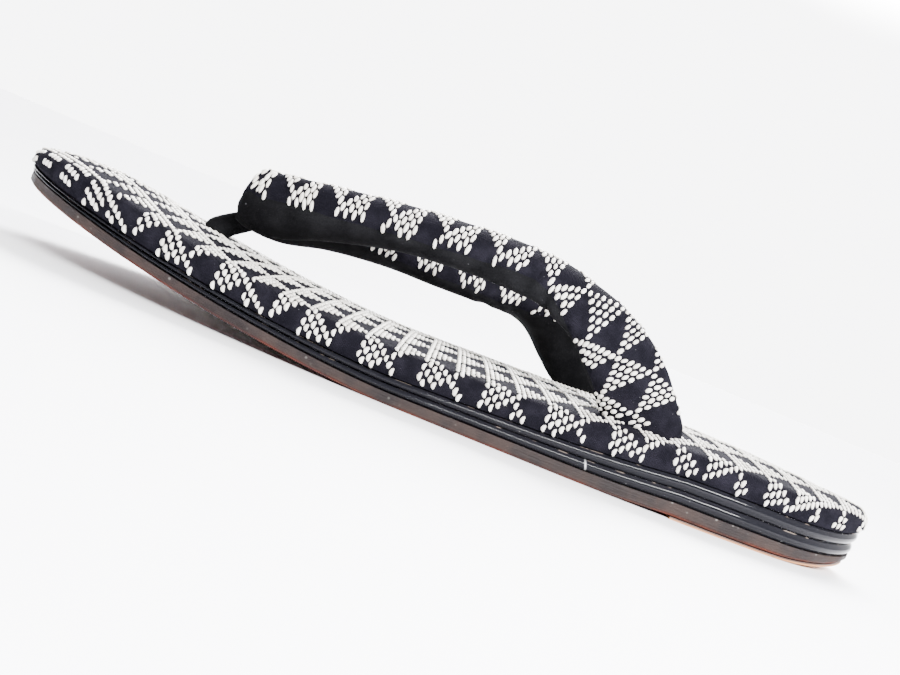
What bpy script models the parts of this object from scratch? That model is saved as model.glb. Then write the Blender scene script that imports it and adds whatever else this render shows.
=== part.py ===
# Setta sandal: leather outsole with a heel lift, two lacquered bands, a cloth-covered
# footbed, a pair of padded straps joined in a fold, and the thong that holds the fold.
# X runs from heel to toe, +Y is the side with the higher strap, Z is up, in metres.
# The origin is on the floor, under the middle of the sole.
import math

import bmesh
import bpy
from mathutils import Vector

# Sizes of the sole
SOLE_LENGTH = 0.2540
HEEL_WIDTH = 0.0900
BALL_WIDTH = 0.0980
WAIST_BLEND = 0.0500
END_FULLNESS = 3.0
TOE_SPRING = 0.0156
SPRING_START = 0.0120
SPRING_POWER = 1.5
LIFT_LENGTH = 0.0615
WAIST_RAMP = 0.0310
LIFT_FRONT = 0.0007
LIFT_BACK = 0.0008
HEEL_REST = 0.0300
HEEL_SWEEP = 0.0040
OUTSOLE_THICKNESS = 0.0034
BAND_HEIGHT = 0.0035
FOOTBED_HEIGHT = 0.0068
FOOTBED_CROWN = 0.0025
CROWN_FULLNESS = 12.0
GAP = 0.0003

# How far each edge stands in from the widest line of the footbed
UPPER_BAND_INSET = 0.0006
LOWER_BAND_INSET = 0.0009
BAND_ROUND = 0.0008
OUTSOLE_INSET = 0.0012
OUTSOLE_CHAMFER = 0.0007
LIFT_INSET = 0.0020
FOOTBED_ROUND = 0.0036
FOOTBED_TUCK = 0.0008
TUCK_SHARE = 0.4

# Sizes of the straps and the thong
STRAP_WIDTH = 0.0200
STRAP_THICKNESS = 0.0120
STRAP_RISE = 0.0260
STRAP_SPREAD = 0.0295
STRAP_BASE_X = -0.0545
STRAP_SINK = 0.0006
FOLD_X = 0.0640
POCKET_DEPTH = 0.0035
THONG_DIAMETER = 0.0064
THONG_X = 0.0745

# Share of a strap's half thickness that lies under its middle
STRAP_UNDERSIDE = 0.86

# Fineness of the meshes
OUTLINE_STEPS = 36
STRAP_STEPS = 2
SECTION_POINTS = 18
CROWN_STEPS = 8
BAND_STEPS = 4
ROUND_STEPS = 3
POCKET_ROWS = 5
TUBE_STEPS = 3
TANGENT_REACH = 0.25
SHARP_ANGLE = 40.0
MERGE_DISTANCE = 0.00001

# Thickness of the layers along the sole. The place is a share of half the length,
# leather of OUTSOLE_THICKNESS, band of BAND_HEIGHT and cloth of FOOTBED_HEIGHT.
LAYERS = [
    # place, leather, band, cloth
    (-1.00, 0.44, 0.90, 0.84),
    (-0.80, 0.92, 0.93, 0.98),
    (-0.55, 1.00, 0.91, 1.00),
    (-0.20, 0.94, 0.63, 1.00),
    (0.16, 0.84, 0.44, 1.00),
    (0.55, 0.80, 0.29, 1.02),
    (0.82, 0.85, 0.21, 1.06),
    (1.00, 0.82, 0.20, 0.66),
]

# Sections of each strap from the footbed to the fold. Along runs from STRAP_BASE_X to
# FOLD_X, out is a share of STRAP_SPREAD, up of STRAP_RISE above the footbed at the base,
# width and thick are shares of the strap's own sizes, and roll turns the face outward.
# Below its first row each strap goes straight down into its pocket.
NEAR_STRAP = [
    # along, out, up, width, thick, roll
    (0.011, 1.00, 0.000, 1.00, 0.79, 85.0),
    (0.043, 0.99, 0.180, 1.02, 0.83, 83.0),
    (0.080, 0.98, 0.380, 1.03, 0.88, 80.0),
    (0.127, 0.97, 0.570, 1.00, 0.91, 72.0),
    (0.185, 0.95, 0.760, 0.92, 0.92, 60.0),
    (0.250, 0.92, 0.890, 0.84, 0.92, 48.0),
    (0.325, 0.86, 0.985, 0.86, 0.97, 34.0),
    (0.430, 0.78, 1.000, 0.95, 1.03, 24.0),
    (0.550, 0.68, 0.970, 0.98, 1.06, 18.0),
    (0.680, 0.56, 0.905, 0.96, 1.12, 16.0),
    (0.840, 0.39, 0.755, 0.83, 1.36, 14.0),
    (0.940, 0.26, 0.635, 0.70, 1.58, 10.0),
    (1.000, 0.19, 0.600, 0.62, 1.58, 8.0),
    (1.022, 0.17, 0.628, 0.58, 1.52, 6.0),
    (1.037, 0.15, 0.644, 0.40, 1.16, 6.0),
]
FAR_STRAP = [
    # along, out, up, width, thick, roll
    (0.000, 1.00, 0.000, 1.00, 0.79, 85.0),
    (0.060, 0.99, 0.170, 1.08, 0.83, 80.0),
    (0.130, 0.98, 0.320, 1.10, 0.88, 70.0),
    (0.190, 0.97, 0.470, 1.05, 0.92, 55.0),
    (0.250, 0.95, 0.600, 0.97, 0.93, 35.0),
    (0.315, 0.92, 0.680, 0.90, 0.95, 12.0),
    (0.395, 0.86, 0.710, 0.90, 0.98, -8.0),
    (0.480, 0.78, 0.710, 0.95, 1.02, -15.0),
    (0.570, 0.68, 0.705, 0.98, 1.05, -16.0),
    (0.690, 0.56, 0.700, 0.96, 1.14, -10.0),
    (0.840, 0.39, 0.660, 0.83, 1.38, 2.0),
    (0.940, 0.26, 0.600, 0.70, 1.64, 8.0),
    (1.000, 0.19, 0.590, 0.62, 1.62, 8.0),
    (1.022, 0.17, 0.618, 0.58, 1.52, 6.0),
    (1.037, 0.15, 0.634, 0.40, 1.16, 6.0),
]

# The thong's middle line from the footbed into the fold. Back is a share of the way
# from THONG_X to FOLD_X, up of the way to the fold's middle, and full of its radius.
THONG_LINE = [
    # back, up, full
    (0.00, 0.00, 1.15),
    (0.12, 0.12, 1.10),
    (0.34, 0.28, 1.00),
    (0.64, 0.45, 0.95),
    (1.00, 0.68, 0.95),
]
FOLD_ROW = 12

HALF_LENGTH = SOLE_LENGTH / 2
LIFT_EDGE_X = -HALF_LENGTH + LIFT_LENGTH


# Smooth curve through one column of a table
def table_value(table, column, key):
    last = len(table) - 2
    index = 0
    while index < last and key > table[index + 1][0]:
        index += 1
    left, right = table[index], table[index + 1]
    before, after = table[max(index - 1, 0)], table[min(index + 2, len(table) - 1)]
    span = right[0] - left[0]
    part = min(max((key - left[0]) / span, 0.0), 1.0)
    slope_left = (right[column] - before[column]) / (right[0] - before[0])
    slope_right = (after[column] - left[column]) / (after[0] - left[0])
    square, cube = part * part, part * part * part
    return ((2 * cube - 3 * square + 1) * left[column] + (cube - 2 * square + part) * span * slope_left
            + (3 * square - 2 * cube) * right[column] + (cube - square) * span * slope_right)


# Plan of the sole: half its width at x, and a point of its outline by angle
def half_width(x):
    blend = 0.5 + 0.5 * math.tanh(x / WAIST_BLEND)
    widest = (HEEL_WIDTH + (BALL_WIDTH - HEEL_WIDTH) * blend) / 2
    return widest * math.sqrt(max(1 - abs(x / HALF_LENGTH) ** END_FULLNESS, 0.0))


def outline_point(angle):
    x = HALF_LENGTH * math.cos(angle)
    return Vector((x, half_width(x), 0.0))


def half_outline(inset, front_x=HALF_LENGTH):
    start = math.acos(front_x / HALF_LENGTH)
    points = []
    for step in range(OUTLINE_STEPS + 1):
        angle = start + (math.pi - start) * step / OUTLINE_STEPS
        here = outline_point(angle)
        if step == OUTLINE_STEPS:
            points.append(here + Vector((inset, 0, 0)))
        elif step == 0 and here.y < GAP:
            points.append(here - Vector((inset, 0, 0)))
        else:
            turn = 0.5 * (math.pi - start) / OUTLINE_STEPS
            along = outline_point(angle + turn) - outline_point(angle - turn)
            outward = Vector((along.y, -along.x, 0)).normalized()
            moved = here - inset * outward
            if step == 0:
                moved.x = here.x
            points.append(moved)
    return points


# Heights of the layers at x. The toe springs up, and the heel's end sweeps up a little.
def heel_share(x):
    return max((LIFT_EDGE_X - x) / LIFT_LENGTH, 0.0)


def lift_bottom(x):
    rest = HEEL_REST / LIFT_LENGTH
    past_rest = max(heel_share(x) - rest, 0.0) / (1 - rest)
    return HEEL_SWEEP * past_rest ** 2


def outsole_bottom(x):
    if x > SPRING_START:
        rise = (x - SPRING_START) / (HALF_LENGTH - SPRING_START)
        return TOE_SPRING * rise ** SPRING_POWER
    if x < LIFT_EDGE_X:
        return lift_bottom(x) + LIFT_FRONT + (LIFT_BACK - LIFT_FRONT) * heel_share(x) + GAP
    ramp = max(1 - (x - LIFT_EDGE_X) / WAIST_RAMP, 0.0)
    return (GAP + LIFT_FRONT) * ramp * ramp


def leather(x):
    return OUTSOLE_THICKNESS * table_value(LAYERS, 1, x / HALF_LENGTH)


def band(x):
    return BAND_HEIGHT * table_value(LAYERS, 2, x / HALF_LENGTH)


def lower_band_bottom(x):
    return outsole_bottom(x) + leather(x) + GAP


def upper_band_bottom(x):
    return lower_band_bottom(x) + band(x) + GAP


def footbed_bottom(x):
    return upper_band_bottom(x) + band(x) + GAP


def cloth(x):
    return FOOTBED_HEIGHT * table_value(LAYERS, 3, x / HALF_LENGTH)


# The crown is full over the middle of the footbed and dies out towards its two ends
def crown_height(x, share):
    to_end = min(abs(x) / (HALF_LENGTH - FOOTBED_ROUND), 1.0)
    return FOOTBED_CROWN * (1 - share * share) * (1 - to_end ** CROWN_FULLNESS)


def footbed_top(x, y):
    share = min(abs(y) / max(half_width(x), GAP), 1.0)
    return footbed_bottom(x) + cloth(x) + crown_height(x, share)


# A layer of the sole is lofted through rings, from its bottom ring to its top ring.
# Each ring is an inset and a function of x for its height.
def layer(name, rings, material, front_x=HALF_LENGTH, crowned=False):
    mesh = bmesh.new()
    pointed = front_x == HALF_LENGTH
    stations = OUTLINE_STEPS + 1
    loops = []
    for inset, height in rings:
        half = half_outline(inset, front_x)
        near = [mesh.verts.new((p.x, p.y, height(base.x))) for p, base in zip(half, half_outline(0.0, front_x))]
        far = []
        for index, vert in enumerate(near):
            tip = index == stations - 1 or (index == 0 and pointed)
            far.append(vert if tip else mesh.verts.new((vert.co.x, -vert.co.y, vert.co.z)))
        loops.append((near, far))
    for (near_low, far_low), (near_high, far_high) in zip(loops, loops[1:]):
        for index in range(stations - 1):
            mesh.faces.new((near_low[index], near_high[index], near_high[index + 1], near_low[index + 1]))
            mesh.faces.new((far_low[index], far_low[index + 1], far_high[index + 1], far_high[index]))
        if not pointed:
            mesh.faces.new((near_low[0], far_low[0], far_high[0], near_high[0]))
    cap(mesh, loops[0], False, False)
    cap(mesh, loops[-1], crowned, True)
    return finish(mesh, name, material)


# A cap runs across from the near edge to the far edge, and may be crowned
def cap(mesh, edges, crowned, upward):
    near, far = edges
    steps = CROWN_STEPS if crowned else 1
    previous = None
    for near_vert, far_vert in zip(near, far):
        row = [near_vert]
        if near_vert is not far_vert:
            for step in range(1, steps):
                share = 1 - 2 * step / steps
                y = near_vert.co.y * share
                z = near_vert.co.z + crown_height(near_vert.co.x, share)
                row.append(mesh.verts.new((near_vert.co.x, y, z)))
            row.append(far_vert)
        if previous:
            bridge(mesh, previous, row, upward)
        previous = row


def bridge(mesh, first, second, upward):
    count = max(len(first), len(second)) - 1
    for step in range(count):
        a, b = first[min(step, len(first) - 1)], first[min(step + 1, len(first) - 1)]
        c, d = second[min(step + 1, len(second) - 1)], second[min(step, len(second) - 1)]
        corners = list(dict.fromkeys((a, d, c, b) if not upward else (a, b, c, d)))
        mesh.faces.new(corners)


# Materials and objects
def material(name, colour, roughness):
    made = bpy.data.materials.new(name)
    made.use_nodes = True
    shader = made.node_tree.nodes["Principled BSDF"]
    shader.inputs["Base Color"].default_value = (*colour, 1.0)
    shader.inputs["Roughness"].default_value = roughness
    shader.inputs["Metallic"].default_value = 0.0
    made.diffuse_color = (*colour, 1.0)
    return made


def finish(mesh, name, look, parts=True):
    bmesh.ops.recalc_face_normals(mesh, faces=mesh.faces)
    data = bpy.data.meshes.new(name)
    mesh.to_mesh(data)
    mesh.free()
    data.shade_smooth()
    data.set_sharp_from_angle(angle=math.radians(SHARP_ANGLE))
    made = bpy.data.objects.new(name, data)
    if look:
        data.materials.append(look)
    collection = "setta_sandal" if parts else "cutters"
    bpy.data.collections[collection].objects.link(made)
    if not parts:
        made.hide_render = True
        made.display_type = "WIRE"
    return made


def cut(target, tool, operation="DIFFERENCE"):
    modifier = target.modifiers.new(tool.name, "BOOLEAN")
    modifier.operation = operation
    modifier.solver = "EXACT"
    modifier.object = tool


# A strap's section is placed by its row: middle, face and width directions, half sizes
def strap_middle(table, side, key):
    along, out, up = (table_value_by_step(table, column, key) for column in (0, 1, 2))
    base = footbed_top(STRAP_BASE_X, STRAP_SPREAD) - STRAP_SINK
    x = STRAP_BASE_X + along * (FOLD_X - STRAP_BASE_X)
    return Vector((x, side * out * STRAP_SPREAD, base + up * STRAP_RISE + min(key, 0) * POCKET_DEPTH))


def table_value_by_step(table, column, key):
    numbered = [(index, row[column]) for index, row in enumerate(table)]
    return table_value(numbered, 1, key)


def strap_section(table, side, key, spread=0.0):
    last = len(table) - 1
    ahead = strap_middle(table, side, min(key + TANGENT_REACH, last))
    behind = strap_middle(table, side, key - TANGENT_REACH)
    middle = strap_middle(table, side, key)
    tangent = (ahead - behind).normalized()
    upright = (Vector((0, 0, 1)) - tangent * tangent.z).normalized()
    outward = upright.cross(tangent) * -side
    if outward.y * side < 0:
        outward.negate()
    roll = math.radians(table_value_by_step(table, 5, key))
    face = upright * math.cos(roll) + outward * math.sin(roll)
    across = outward * math.cos(roll) - upright * math.sin(roll)
    half_across = STRAP_WIDTH / 2 * table_value_by_step(table, 3, key) + spread
    half_face = STRAP_THICKNESS / 2 * table_value_by_step(table, 4, key) + spread
    points = []
    for step in range(SECTION_POINTS):
        turn = 2 * math.pi * step / SECTION_POINTS
        depth = math.sin(turn) * half_face
        if depth < 0:
            depth *= STRAP_UNDERSIDE
        points.append(middle + across * math.cos(turn) * half_across + face * depth)
    return points


def loft(name, sections, look, parts=True):
    mesh = bmesh.new()
    loops = [[mesh.verts.new(point) for point in section] for section in sections]
    for first, second in zip(loops, loops[1:]):
        for index in range(len(first)):
            following = (index + 1) % len(first)
            mesh.faces.new((first[index], first[following], second[following], second[index]))
    mesh.faces.new(loops[0])
    mesh.faces.new(loops[-1])
    return finish(mesh, name, look, parts)


def strap(name, table, side, look):
    last = (len(table) - 1) * STRAP_STEPS
    sections = [strap_section(table, side, step / STRAP_STEPS) for step in range(-STRAP_STEPS, last + 1)]
    return loft(name, sections, look)


# The pocket follows the strap's own sections, with the gap around them and below
def pocket(name, table, side):
    keys = [step / STRAP_STEPS for step in range(-STRAP_STEPS, POCKET_ROWS * STRAP_STEPS + 1)]
    sections = [strap_section(table, side, key, GAP) for key in keys]
    sections.insert(0, [point - Vector((0, 0, GAP)) for point in sections[0]])
    return loft(name, sections, None, parts=False)


def thong_points(spread):
    foot = Vector((THONG_X, 0, footbed_top(THONG_X, 0.0)))
    fold_z = strap_middle(NEAR_STRAP, 1, FOLD_ROW).z
    points = [(Vector((foot.x - back * (foot.x - FOLD_X), 0, foot.z + up * (fold_z - foot.z))), full)
              for back, up, full in THONG_LINE]
    buried = points[0][0] - Vector((0, 0, POCKET_DEPTH + spread))
    points.insert(0, (buried, points[0][1]))
    over = (points[-1][0] - points[-2][0]).normalized() * spread
    points[-1] = (points[-1][0] + over, points[-1][1])
    return points


def thong_tube(name, spread, look, parts=True):
    curve = bpy.data.curves.new(name, "CURVE")
    curve.dimensions = "3D"
    curve.bevel_depth = THONG_DIAMETER / 2
    curve.bevel_resolution = TUBE_STEPS
    curve.use_fill_caps = True
    curve.resolution_u = TUBE_STEPS
    line = curve.splines.new("NURBS")
    points = thong_points(spread)
    line.points.add(len(points) - 1)
    for point, (place, full) in zip(line.points, points):
        point.co = (*place, 1.0)
        point.radius = full + spread / curve.bevel_depth
    line.order_u = TUBE_STEPS
    line.use_endpoint_u = True
    source = bpy.data.objects.new(name + "_line", curve)
    bpy.context.scene.collection.objects.link(source)
    bpy.context.view_layer.update()
    data = bpy.data.meshes.new_from_object(source.evaluated_get(bpy.context.evaluated_depsgraph_get()))
    bpy.data.objects.remove(source)
    mesh = bmesh.new()
    mesh.from_mesh(data)
    bpy.data.meshes.remove(data)
    bmesh.ops.remove_doubles(mesh, verts=mesh.verts, dist=MERGE_DISTANCE)
    return finish(mesh, name, look, parts)


# A band's side bulges from its two edges to its middle
def band_rings(inset, bottom):
    rings = []
    for step in range(BAND_STEPS + 1):
        share = step / BAND_STEPS
        bulge = (2 * share - 1) ** 2
        rings.append((inset + BAND_ROUND * bulge, lambda x, share=share: bottom(x) + band(x) * share))
    return rings


# The footbed is tucked in at its foot, runs straight up, and rounds over at its top
def footbed_rings():
    def side(x):
        return cloth(x) - FOOTBED_ROUND

    rings = [
        (FOOTBED_TUCK, footbed_bottom),
        (0.0, lambda x: footbed_bottom(x) + side(x) * TUCK_SHARE),
    ]
    for step in range(ROUND_STEPS + 1):
        turn = math.pi / 2 * step / ROUND_STEPS
        inset = FOOTBED_ROUND * (1 - math.cos(turn))
        rise = FOOTBED_ROUND * math.sin(turn)
        rings.append((inset, lambda x, rise=rise: footbed_bottom(x) + side(x) + rise))
    return rings


def build_sole(weave, lacquer, edge, lift):
    layer("heel_lift", [
        (LIFT_INSET, lift_bottom),
        (LIFT_INSET, lambda x: outsole_bottom(x) - GAP),
    ], lift, front_x=LIFT_EDGE_X)
    layer("outsole", [
        (OUTSOLE_INSET + OUTSOLE_CHAMFER, outsole_bottom),
        (OUTSOLE_INSET, lambda x: outsole_bottom(x) + OUTSOLE_CHAMFER),
        (OUTSOLE_INSET, lambda x: outsole_bottom(x) + leather(x)),
    ], edge)
    layer("lower_band", band_rings(LOWER_BAND_INSET, lower_band_bottom), lacquer)
    layer("upper_band", band_rings(UPPER_BAND_INSET, upper_band_bottom), lacquer)
    footbed = layer("footbed", footbed_rings(), weave, crowned=True)
    cut(footbed, pocket("near_pocket", NEAR_STRAP, 1))
    cut(footbed, pocket("far_pocket", FAR_STRAP, -1))
    cut(footbed, thong_tube("thong_socket", GAP, None, parts=False))


def build_straps(weave, velvet):
    straps = strap("straps", NEAR_STRAP, 1, weave)
    far = strap("far_strap", FAR_STRAP, -1, weave)
    bpy.data.collections["setta_sandal"].objects.unlink(far)
    bpy.data.collections["cutters"].objects.link(far)
    far.hide_render = True
    far.display_type = "WIRE"
    cut(straps, far, "UNION")
    thong_tube("toe_thong", 0.0, velvet)
    cut(straps, bpy.data.objects["thong_socket"])


def main():
    for old in list(bpy.data.objects):
        bpy.data.objects.remove(old)
    for name in ("setta_sandal", "cutters"):
        bpy.context.scene.collection.children.link(bpy.data.collections.new(name))
    weave = material("woven_cloth", (0.30, 0.29, 0.28), 0.8)
    velvet = material("black_velvet", (0.012, 0.012, 0.014), 0.9)
    lacquer = material("black_lacquer", (0.010, 0.010, 0.012), 0.15)
    edge = material("stained_leather", (0.060, 0.035, 0.028), 0.6)
    lift = material("tan_leather", (0.20, 0.10, 0.05), 0.6)
    build_sole(weave, lacquer, edge, lift)
    build_straps(weave, velvet)


main()
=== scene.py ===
# Setta sandal, dressed: lacquered bands, leather edge, woven cloth with plump ivory
# stitches, velvet straps. X runs from heel to toe, +Y is the near side, Z is up, in metres.
import math

import bpy
import numpy as np
from mathutils import Matrix, Vector


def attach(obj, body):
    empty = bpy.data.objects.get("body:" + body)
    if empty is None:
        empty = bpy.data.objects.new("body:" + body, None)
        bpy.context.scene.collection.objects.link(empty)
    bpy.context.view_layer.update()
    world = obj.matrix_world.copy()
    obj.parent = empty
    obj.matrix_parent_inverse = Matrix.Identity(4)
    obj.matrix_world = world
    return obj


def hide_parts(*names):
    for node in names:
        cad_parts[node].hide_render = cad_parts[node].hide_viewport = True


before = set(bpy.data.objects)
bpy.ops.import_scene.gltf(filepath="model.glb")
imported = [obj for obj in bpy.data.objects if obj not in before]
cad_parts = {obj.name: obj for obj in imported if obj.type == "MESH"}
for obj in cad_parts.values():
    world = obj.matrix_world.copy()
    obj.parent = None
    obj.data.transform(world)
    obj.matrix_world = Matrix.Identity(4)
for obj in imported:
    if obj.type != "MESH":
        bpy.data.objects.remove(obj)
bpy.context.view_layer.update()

# Sizes of the sole, as in the solids
SOLE_LENGTH = 0.2540
HEEL_WIDTH = 0.0900
BALL_WIDTH = 0.0980
WAIST_BLEND = 0.0500
END_FULLNESS = 3.0
TOE_SPRING = 0.0156
SPRING_START = 0.0120
SPRING_POWER = 1.5
LIFT_LENGTH = 0.0615
WAIST_RAMP = 0.0310
LIFT_FRONT = 0.0007
LIFT_BACK = 0.0008
HEEL_REST = 0.0300
HEEL_SWEEP = 0.0040
OUTSOLE_THICKNESS = 0.0034
BAND_HEIGHT = 0.0035
FOOTBED_HEIGHT = 0.0068
FOOTBED_CROWN = 0.0025
CROWN_FULLNESS = 12.0
GAP = 0.0003
UPPER_BAND_INSET = 0.0006
LOWER_BAND_INSET = 0.0009
BAND_ROUND = 0.0008
OUTSOLE_INSET = 0.0012
OUTSOLE_CHAMFER = 0.0007
LIFT_INSET = 0.0020
FOOTBED_ROUND = 0.0036
FOOTBED_TUCK = 0.0008
TUCK_SHARE = 0.4

# Sizes of the straps and the thong, as in the solids
STRAP_WIDTH = 0.0200
STRAP_THICKNESS = 0.0120
STRAP_RISE = 0.0260
STRAP_SPREAD = 0.0295
STRAP_BASE_X = -0.0545
STRAP_SINK = 0.0006
FOLD_X = 0.0640
STRAP_UNDERSIDE = 0.86
POCKET_DEPTH = 0.0035
THONG_DIAMETER = 0.0064
THONG_X = 0.0745
TANGENT_REACH = 0.25

LAYERS = [
    # place, leather, band, cloth
    (-1.00, 0.44, 0.90, 0.84),
    (-0.80, 0.92, 0.93, 0.98),
    (-0.55, 1.00, 0.91, 1.00),
    (-0.20, 0.94, 0.63, 1.00),
    (0.16, 0.84, 0.44, 1.00),
    (0.55, 0.80, 0.29, 1.02),
    (0.82, 0.85, 0.21, 1.06),
    (1.00, 0.82, 0.20, 0.66),
]
LEATHER, BAND, CLOTH = 1, 2, 3
NEAR_STRAP = [
    # along, out, up, width, thick, roll
    (0.011, 1.00, 0.000, 1.00, 0.79, 85.0),
    (0.043, 0.99, 0.180, 1.02, 0.83, 83.0),
    (0.080, 0.98, 0.380, 1.03, 0.88, 80.0),
    (0.127, 0.97, 0.570, 1.00, 0.91, 72.0),
    (0.185, 0.95, 0.760, 0.92, 0.92, 60.0),
    (0.250, 0.92, 0.890, 0.84, 0.92, 48.0),
    (0.325, 0.86, 0.985, 0.86, 0.97, 34.0),
    (0.430, 0.78, 1.000, 0.95, 1.03, 24.0),
    (0.550, 0.68, 0.970, 0.98, 1.06, 18.0),
    (0.680, 0.56, 0.905, 0.96, 1.12, 16.0),
    (0.840, 0.39, 0.755, 0.83, 1.36, 14.0),
    (0.940, 0.26, 0.635, 0.70, 1.58, 10.0),
    (1.000, 0.19, 0.600, 0.62, 1.58, 8.0),
    (1.022, 0.17, 0.628, 0.58, 1.52, 6.0),
    (1.037, 0.15, 0.644, 0.40, 1.16, 6.0),
]
FAR_STRAP = [
    # along, out, up, width, thick, roll
    (0.000, 1.00, 0.000, 1.00, 0.79, 85.0),
    (0.060, 0.99, 0.170, 1.08, 0.83, 80.0),
    (0.130, 0.98, 0.320, 1.10, 0.88, 70.0),
    (0.190, 0.97, 0.470, 1.05, 0.92, 55.0),
    (0.250, 0.95, 0.600, 0.97, 0.93, 35.0),
    (0.315, 0.92, 0.680, 0.90, 0.95, 12.0),
    (0.395, 0.86, 0.710, 0.90, 0.98, -8.0),
    (0.480, 0.78, 0.710, 0.95, 1.02, -15.0),
    (0.570, 0.68, 0.705, 0.98, 1.05, -16.0),
    (0.690, 0.56, 0.700, 0.96, 1.14, -10.0),
    (0.840, 0.39, 0.660, 0.83, 1.38, 2.0),
    (0.940, 0.26, 0.600, 0.70, 1.64, 8.0),
    (1.000, 0.19, 0.590, 0.62, 1.62, 8.0),
    (1.022, 0.17, 0.618, 0.58, 1.52, 6.0),
    (1.037, 0.15, 0.634, 0.40, 1.16, 6.0),
]
ALONG, OUT, UP, WIDTH, THICKNESS, ROLL = range(6)

# The thong's line goes from its root up to the row where the straps are folded together
THONG_LINE = [
    # back, up, full
    (0.00, 0.00, 1.15),
    (0.12, 0.12, 1.10),
    (0.34, 0.28, 1.00),
    (0.64, 0.45, 0.95),
    (1.00, 0.68, 0.95),
]
FOLD_ROW = 12

# The weave. A full white line closes every sixth row, and stitches stand half a pitch
# apart from row to row.
REPEAT = 6
STITCH_PITCH = 0.00260
STITCH_LENGTH = 0.00228
STITCH_WIDTH = 0.00122
STITCH_HEIGHT = 0.00058
STITCH_BEND = 0.30
STITCH_TILT = 0.10
STITCH_UNEVEN = 0.07

# Where the full lines of the footbed lie, by number from the heel: x at the edge of the
# top and at its middle, and how far the pattern has drifted to the near side there
SOLE_LINES = [
    # line, edge, middle, drift
    (-14, -0.1290, -0.1330, 0.0000),
    (-12, -0.1090, -0.1160, 0.0000),
    (-10, -0.0962, -0.0950, 0.0000),
    (-8, -0.0785, -0.0745, 0.0000),
    (-6, -0.0605, -0.0550, 0.0000),
    (-4, -0.0432, -0.0375, 0.0000),
    (-2, -0.0259, -0.0229, 0.0000),
    (0, -0.0093, -0.0088, 0.0005),
    (2, 0.0069, 0.0055, 0.0025),
    (4, 0.0225, 0.0195, 0.0033),
    (6, 0.0379, 0.0335, 0.0046),
    (8, 0.0536, 0.0471, 0.0078),
    (10, 0.0700, 0.0596, 0.0084),
    (12, 0.0868, 0.0738, 0.0072),
    (14, 0.1065, 0.0880, 0.0068),
    (16, 0.1310, 0.1087, 0.0060),
    (18, 0.1500, 0.1310, 0.0060),
]
LINE_EDGE, LINE_MIDDLE, LINE_DRIFT = 1, 2, 3
LINE_SPAN = 0.0450
LINE_TO_EDGE = 0.0007
SOLE_PHASE = -0.0007

# Where the full lines of a strap lie, by number from its base: the length along the strap,
# how far the pattern is moved around it towards the inner side, and the stitch pitch there
STRAP_LAST_LINE = 17
NEAR_LINES = [
    # line, along, drift, pitch
    (-2, -0.0105, -0.0024, 0.0025),
    (0, 0.0052, -0.0024, 0.0025),
    (2, 0.0213, -0.0024, 0.0026),
    (3, 0.0296, -0.0003, 0.0027),
    (4, 0.0396, 0.0009, 0.0027),
    (5, 0.0480, 0.0022, 0.0032),
    (6, 0.0566, 0.0038, 0.0038),
    (8, 0.0719, 0.0035, 0.0038),
    (10, 0.0869, 0.0028, 0.0036),
    (12, 0.1019, 0.0026, 0.0036),
    (14, 0.1169, 0.0026, 0.0036),
    (16, 0.1310, 0.0026, 0.0035),
    (18, 0.1450, 0.0026, 0.0035),
]
FAR_LINES = [
    # line, along, drift, pitch
    (-2, -0.0083, 0.0010, 0.0030),
    (4, 0.0343, 0.0010, 0.0033),
    (6, 0.0485, 0.0012, 0.0036),
    (20, 0.1479, 0.0012, 0.0036),
]
STRAP_ALONG, STRAP_DRIFT, STRAP_PITCH = 1, 2, 3

# Where the patterned cloth meets the velvet on each strap, measured around the strap from
# the middle of its face to the outer and to the inner side
NEAR_SEAM = [
    # along, outer, inner
    (-0.010, -0.0122, 0.0122),
    (0.034, -0.0120, 0.0122),
    (0.042, -0.0090, 0.0122),
    (0.052, -0.0082, 0.0120),
    (0.060, -0.0095, 0.0120),
    (0.068, -0.0112, 0.0120),
    (0.082, -0.0125, 0.0120),
    (0.098, -0.0125, 0.0118),
    (0.112, -0.0118, 0.0115),
    (0.122, -0.0106, 0.0110),
    (0.145, -0.0098, 0.0100),
]
FAR_SEAM = [
    # along, outer, inner
    (-0.010, -0.0122, 0.0150),
    (0.032, -0.0122, 0.0172),
    (0.042, -0.0121, 0.0160),
    (0.050, -0.0120, 0.0142),
    (0.060, -0.0120, 0.0132),
    (0.068, -0.0120, 0.0125),
    (0.078, -0.0120, 0.0133),
    (0.092, -0.0118, 0.0145),
    (0.105, -0.0116, 0.0145),
    (0.145, -0.0100, 0.0110),
]
OUTER, INNER = 1, 2

# Wrinkles of the straps: where each lies, its spread along and around, how deep it goes,
# and how far it slants for each unit around
NEAR_FOLDS = [
    # along, around, spread, reach, depth, slant
    (0.053, -0.006, 0.0016, 0.0060, 0.0009, -0.35),
    (0.046, -0.012, 0.0018, 0.0040, 0.0007, 0.50),
    (0.062, -0.014, 0.0020, 0.0040, 0.0005, 0.60),
    (0.004, -0.004, 0.0015, 0.0080, 0.0004, 0.20),
    (0.128, -0.006, 0.0022, 0.0060, 0.0005, 0.40),
]
FAR_FOLDS = [
    # along, around, spread, reach, depth, slant
    (0.050, 0.016, 0.0018, 0.0060, 0.0006, -0.40),
    (0.060, 0.018, 0.0020, 0.0050, 0.0004, -0.50),
    (0.120, 0.014, 0.0022, 0.0060, 0.0004, -0.40),
]
SEAM_GROOVE = 0.00040
SEAM_SPREAD = 0.0008

# How many columns of stitches there are to each side, and the bare margins they keep
STRAP_COLUMNS = 12
SOLE_COLUMNS = 56
SEAM_ALLOWANCE = 0.0006
STRAP_MARGIN = 0.0008
SIDE_MARGIN = 0.0008
CLOTH_REACH = 0.012

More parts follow.
